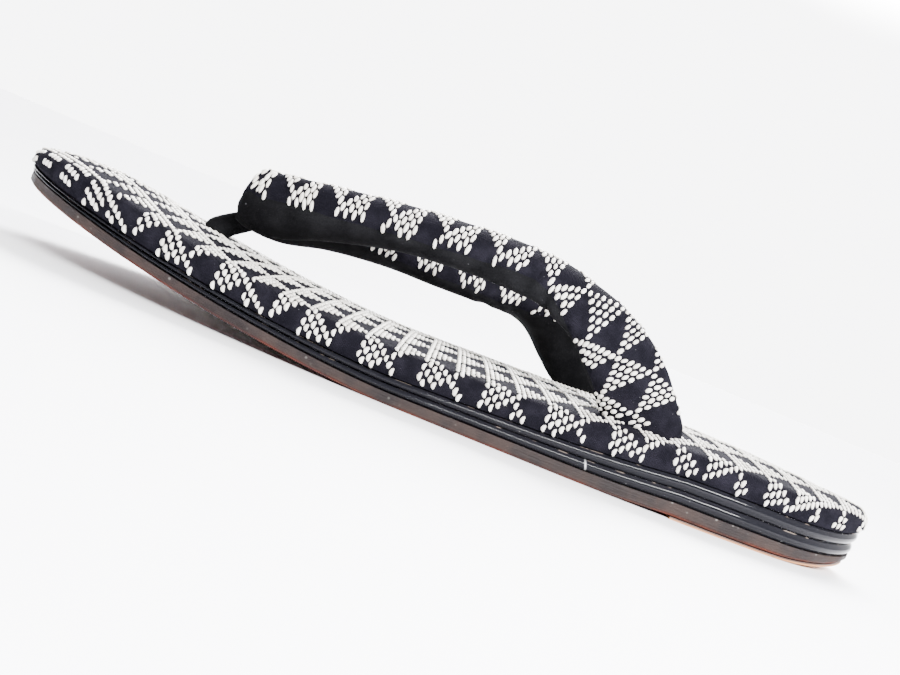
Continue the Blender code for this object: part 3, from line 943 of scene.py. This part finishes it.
# Cut leather edge, stained grey-black, reddish brown along its foot, with dust on its top
stained = Look("stained_leather_edge", 0.65, Specular_IOR_Level=0.08)
foot = stained.reversed(stained.mark("height", 0.0, 0.75))
dust = stained.both(stained.shared(SPECKS, Scale=620.0, Size=0.30, Share=0.20),
                    stained.mark("height", 0.5, 1.0))
uneven = stained.shared(PATCHES, Scale=130.0, Low=0.35, High=0.65)
stained_colour = stained.colours(STAIN_DARK, [
    (uneven, STAIN_LIGHT),
    (stained.both(foot, stained.ranged(uneven, 0.0, 1.0, 0.35, 1.0)), STAIN_REDDISH),
    (dust, STAIN_DUST),
])
stained_layers = stained.shared(FIBRES, Scale=420.0, Squeeze_X=0.25, Squeeze_Z=5.0)
layered = stained.bump(stained_layers, distance=0.00030, strength=0.9)
stained_look = stained.finish(stained_colour, stained.ranged(uneven, 0.0, 1.0, 0.50, 0.80), layered)

# The lift's leather: tan along its foot, darker above, with layered grain
tan = Look("tan_leather_edge", 0.6)
tan_foot = tan.ranged(tan.mark("height", 0.0, 1.0), 0.35, 0.8, 1.0, 0.0)
tan_colour = tan.colours(TAN_DARK, [
    (tan_foot, TAN_LIGHT),
    (tan.shared(PATCHES, Scale=300.0, Low=0.55, High=0.75), TAN_GRAIN),
])
tan_layers = tan.shared(FIBRES, Scale=500.0, Squeeze_X=0.3, Squeeze_Z=5.0)
lift_look = tan.finish(tan_colour, normal=tan.bump(tan_layers, distance=0.00025, strength=0.9))


# The sole
lift = layer("lift_leather", [
    (LIFT_INSET, lift_bottom),
    (LIFT_INSET, lambda x: outsole_bottom(x) - GAP),
], lift_look, front_x=LIFT_EDGE_X)
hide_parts("heel_lift")
edge = layer("sole_leather", [
    (OUTSOLE_INSET + OUTSOLE_CHAMFER, outsole_bottom),
    (OUTSOLE_INSET, lambda x: outsole_bottom(x) + OUTSOLE_CHAMFER),
    (OUTSOLE_INSET, lambda x: outsole_bottom(x) + leather(x)),
], stained_look)
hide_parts("outsole")
lower = layer("lower_lacquer", band_rings(LOWER_BAND_INSET, lower_band_bottom), lacquer_look)
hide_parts("lower_band")
upper = layer("upper_lacquer", band_rings(UPPER_BAND_INSET, upper_band_bottom), lacquer_look)
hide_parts("upper_band")
pad = layer("footbed_cloth", footbed_rings(), weave_look, crowned=True)
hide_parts("footbed")

# Stitches of the footbed. The lines' places change from the middle to the edge, and the
# same slope goes on down the side.
footbed_cloth = FootbedCloth()
first_line, last_line = SOLE_LINES[0][0], SOLE_LINES[-1][0]
counts = chart(range(REPEAT * first_line, REPEAT * last_line), range(-SOLE_COLUMNS, SOLE_COLUMNS))
lines = (counts[:, 0] - (REPEAT - 1)) / REPEAT
turn = counts[:, 1] * STITCH_PITCH / 2 + SOLE_PHASE + column_at(SOLE_LINES, LINE_DRIFT, lines)
middle = column_at(SOLE_LINES, LINE_MIDDLE, lines)
lean = (column_at(SOLE_LINES, LINE_EDGE, lines) - middle) / LINE_SPAN
flat = np.stack([middle + lean * np.abs(turn) - LINE_TO_EDGE, turn], axis=1)
_, depth, left = footbed_cloth.place(flat)
flat = flat[(left > SIDE_MARGIN) & (depth < CLOTH_REACH)]
points, across, normals = surface_frames(lambda spots: footbed_cloth.place(spots)[0], flat)

# Each stitch stands up, or out from the side, and its bow faces the toe
outwardness = normals[:, 2] + (points * normals)[:, :2].sum(axis=1) / HALF_LENGTH
normals *= np.where(outwardness < 0, -1, 1)[:, None]
across *= np.where(np.cross(normals, across)[:, 0] < 0, -1, 1)[:, None]
stitches("footbed_stitches", points, across, normals, [STITCH_LENGTH] * len(points), 1)
print("footbed stitches", len(points))

# The straps
straps = (
    ("near", NEAR_STRAP, 1, NEAR_LINES, NEAR_FOLDS, NEAR_SEAM),
    ("far", FAR_STRAP, -1, FAR_LINES, FAR_FOLDS, FAR_SEAM),
)
for name, table, side, strap_lines, folds, seam in straps:
    surface = StrapCloth(table, side, folds, seam)
    rows, count = surface.grid.shape[:2]
    faces = []
    for start in range(0, (rows - 1) * count, count):
        for step in range(count):
            after = (step + 1) % count
            corners = [start + step, start + after, start + count + after, start + count + step]
            faces.append(tuple(corners if side < 0 else reversed(corners)))
    faces.append(tuple(range(count)))
    faces.append(tuple(range((rows - 1) * count, rows * count)))
    marks = {"past_seam": surface.past_seam[:, :-1].ravel()}
    verts = list(surface.grid.reshape(-1, 3))
    strap = piece(name + "_strap", verts, faces, cover_look, marks)
    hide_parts("straps")
    counts = chart(range(0, REPEAT * (STRAP_LAST_LINE + 2)), range(-STRAP_COLUMNS, STRAP_COLUMNS))
    lines = (REPEAT * STRAP_LAST_LINE + REPEAT - 1 - counts[:, 0]) / REPEAT
    pitch = column_at(strap_lines, STRAP_PITCH, lines)
    turn = counts[:, 1] * pitch / 2 + column_at(strap_lines, STRAP_DRIFT, lines)
    flat = np.stack([column_at(strap_lines, STRAP_ALONG, lines) + LINE_TO_EDGE, turn], axis=1)
    on_strap = (flat[:, 0] > STRAP_MARGIN) & (flat[:, 0] < surface.along[-1] - STRAP_MARGIN)
    kept = on_strap & (surface.beyond_seam(flat[:, 0], turn) < -SEAM_ALLOWANCE)
    flat, lengths = flat[kept], (pitch * STITCH_LENGTH / STITCH_PITCH)[kept]
    points, across, normals = surface_frames(surface.place, flat)
    middles = np.stack([np.interp(flat[:, 0], surface.along, line) for line in surface.middles.T], axis=1)
    normals *= np.sign(((points - middles) * normals).sum(axis=1))[:, None]
    stitches(name + "_strap_stitches", points, across, normals, lengths, 0)
    print(name, "strap stitches", len(points))


# The thong
def thong():
    foot = Vector((THONG_X, 0, footbed_top(THONG_X, 0.0)))
    fold_z = strap_middle(NEAR_STRAP, 1, FOLD_ROW).z
    points = [(Vector((foot.x - back * (foot.x - FOLD_X), 0, foot.z + up * (fold_z - foot.z))), full)
              for back, up, full in THONG_LINE]
    points.insert(0, (points[0][0] - Vector((0, 0, POCKET_DEPTH)), points[0][1]))
    curve = bpy.data.curves.new("thong_line", "CURVE")
    curve.dimensions = "3D"
    curve.bevel_depth = THONG_DIAMETER / 2
    curve.bevel_resolution = THONG_ROUNDNESS
    curve.use_fill_caps = True
    curve.resolution_u = THONG_STEPS
    line = curve.splines.new("NURBS")
    line.points.add(len(points) - 1)
    for point, (place, full) in zip(line.points, points):
        point.co = (*place, 1.0)
        point.radius = full
    line.order_u = THONG_ORDER
    line.use_endpoint_u = True
    source = bpy.data.objects.new("thong_source", curve)
    bpy.context.scene.collection.objects.link(source)
    bpy.context.view_layer.update()
    mesh = bpy.data.meshes.new_from_object(source.evaluated_get(bpy.context.evaluated_depsgraph_get()))
    bpy.data.objects.remove(source)
    mesh.shade_smooth()
    mesh.materials.clear()
    mesh.materials.append(velvet_look)
    made = bpy.data.objects.new("thong_cord", mesh)
    bpy.context.scene.collection.objects.link(made)
    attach(made, "root")
    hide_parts("toe_thong")


thong()

# The floor, which runs on to the white of the studio
FLOOR_HALF = 12.0
FLOOR_COLOUR = (0.93, 0.93, 0.955)
FLOOR_SHADE = (0.915, 0.915, 0.945)
floor_mesh = bpy.data.meshes.new("studio_floor")
floor_corners = [(-FLOOR_HALF, -FLOOR_HALF, 0.0), (FLOOR_HALF, -FLOOR_HALF, 0.0),
                 (FLOOR_HALF, FLOOR_HALF, 0.0), (-FLOOR_HALF, FLOOR_HALF, 0.0)]
floor_mesh.from_pydata(floor_corners, [], [(0, 1, 2, 3)])
paper = Look("pale_floor", 0.7)
shaded = paper.shared(PATCHES, Scale=3.0, Low=0.3, High=0.7)
floor_mesh.materials.append(paper.finish(paper.colours(FLOOR_COLOUR, [(shaded, FLOOR_SHADE)])))
floor = bpy.data.objects.new("studio_floor", floor_mesh)
bpy.context.scene.collection.objects.link(floor)

# The studio's white surround: a bright backdrop, a large soft key light above and behind,
# and a dark room on the camera's side. Each row adds light around one direction.
STUDIO_WHITE = (0.98, 0.98, 1.0, 1.0)
WHITE_STRENGTH = 2.6
STUDIO_LIGHTS = [
    # direction, strength, cosine where it starts, cosine where it is full
    ((-0.05, 0.985, 0.16), -2.5, -0.05, 0.60),
    ((0.00, -0.995, 0.10), 4.9, 0.70, 0.92),
    ((-0.20, -0.76, 0.62), 85.0, 0.93, 0.99),
]
world = bpy.data.worlds.new("studio")
bpy.context.scene.world = world
world.use_nodes = True
sky = add(world.node_tree, "TexCoord").outputs["Generated"]
strength = WHITE_STRENGTH
for direction, added, start, full in STUDIO_LIGHTS:
    towards = add(world.node_tree, "VectorMath", {0: sky, 1: direction}, operation="DOT_PRODUCT")
    share = {"Value": towards.outputs["Value"], "From Min": start, "From Max": full, "To Max": added}
    part = add(world.node_tree, "MapRange", share, interpolation_type="SMOOTHSTEP")
    strength = add(world.node_tree, "Math", {0: strength, 1: part.outputs["Result"]}).outputs["Value"]
background = world.node_tree.nodes["Background"]
background.inputs["Color"].default_value = STUDIO_WHITE
world.node_tree.links.new(strength, background.inputs["Strength"])


# A soft light that faces its target
def softbox(name, place, target, width, height, power):
    data = bpy.data.lights.new(name, "AREA")
    data.shape = "RECTANGLE"
    data.size = width
    data.size_y = height
    data.energy = power
    made = bpy.data.objects.new(name, data)
    made.location = place
    made.rotation_euler = (Vector(target) - Vector(place)).to_track_quat("-Z", "Y").to_euler()
    bpy.context.scene.collection.objects.link(made)


softbox("side_light", place=(-0.30, 0.50, 0.36), target=(-0.05, 0.03, 0.01),
        width=0.55, height=0.03, power=24)

# The camera stands low on the near side, rolled as the photo is
LENS = 48.0
CLIP_START = 0.01
VIEW_AZIMUTH = -2.0
VIEW_ELEVATION = 2.87
VIEW_DISTANCE = 0.3398
VIEW_ROLL = 22.7
VIEW_TARGET = (0.0018, 0.0, 0.0191)
azimuth, elevation, roll = (math.radians(angle) for angle in (VIEW_AZIMUTH, VIEW_ELEVATION, VIEW_ROLL))
back = Vector((-math.sin(azimuth) * math.cos(elevation), math.cos(azimuth) * math.cos(elevation),
               math.sin(elevation)))
level = (-back).cross(Vector((0, 0, 1))).normalized()
above = level.cross(-back)
right = level * math.cos(roll) + above * math.sin(roll)
up = above * math.cos(roll) - level * math.sin(roll)
camera_data = bpy.data.cameras.new("camera")
camera_data.lens = LENS
camera_data.clip_start = CLIP_START
camera = bpy.data.objects.new("camera", camera_data)
camera.matrix_world = Matrix.Translation(Vector(VIEW_TARGET) + back * VIEW_DISTANCE) @ Matrix(
    (right, up, back)).transposed().to_4x4()
bpy.context.scene.collection.objects.link(camera)
bpy.context.scene.camera = camera
